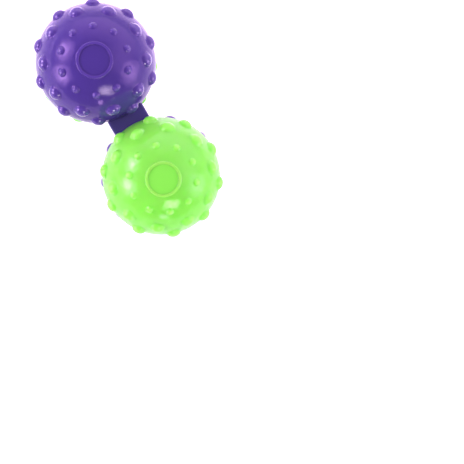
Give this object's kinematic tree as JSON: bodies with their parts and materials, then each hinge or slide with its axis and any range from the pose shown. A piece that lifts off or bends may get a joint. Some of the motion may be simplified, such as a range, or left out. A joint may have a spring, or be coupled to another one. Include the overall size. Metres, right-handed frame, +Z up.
{
  "type": "twin sensory ball",
  "caption": "Bumpy plastic sensory balls, each half purple and half green, that spin freely on the ends of a flat link held between their halves.",
  "frame": {"origin": "on the resting surface, midway between the balls", "axes": "+X from ball A (purple on top) to ball B (green on top), along the link; +Z up, along both spin axes"},
  "size_m": [0.0842, 0.0412, 0.0393],
  "materials": {
    "link_purple": "glossy moulded plastic",
    "purple_shell": "glossy moulded plastic",
    "purple_cap": "glossy moulded plastic",
    "green_shell": "glossy moulded plastic, slightly translucent",
    "green_cap": "glossy moulded plastic, slightly translucent",
    "bush_nylon": "natural nylon",
    "axle_steel": "zinc plated"
  },
  "bodies": {
    "link": {"link_plate": "link_purple", "link_bush_a_top": "bush_nylon", "link_bush_a_bottom": "bush_nylon", "link_bush_b_top": "bush_nylon", "link_bush_b_bottom": "bush_nylon"},
    "ball_a": {"ball_a_top_shell": "purple_shell", "ball_a_bottom_shell": "green_shell", "ball_a_top_cap": "purple_cap", "ball_a_bottom_cap": "green_cap", "ball_a_screw": "axle_steel", "ball_a_nut": "axle_steel"},
    "ball_b": {"ball_b_top_shell": "green_shell", "ball_b_bottom_shell": "purple_shell", "ball_b_top_cap": "green_cap", "ball_b_bottom_cap": "purple_cap", "ball_b_screw": "axle_steel", "ball_b_nut": "axle_steel"}
  },
  "joints": [
    {"name": "ball_a_spin", "type": "hinge", "parent": "link", "child": "ball_a", "pos_m": [-0.02165, 0, 0.01963], "axis": [0, 0, 1], "continuous": true},
    {"name": "ball_b_spin", "type": "hinge", "parent": "link", "child": "ball_b", "pos_m": [0.02165, 0, 0.01963], "axis": [0, 0, 1], "continuous": true}
  ]
}
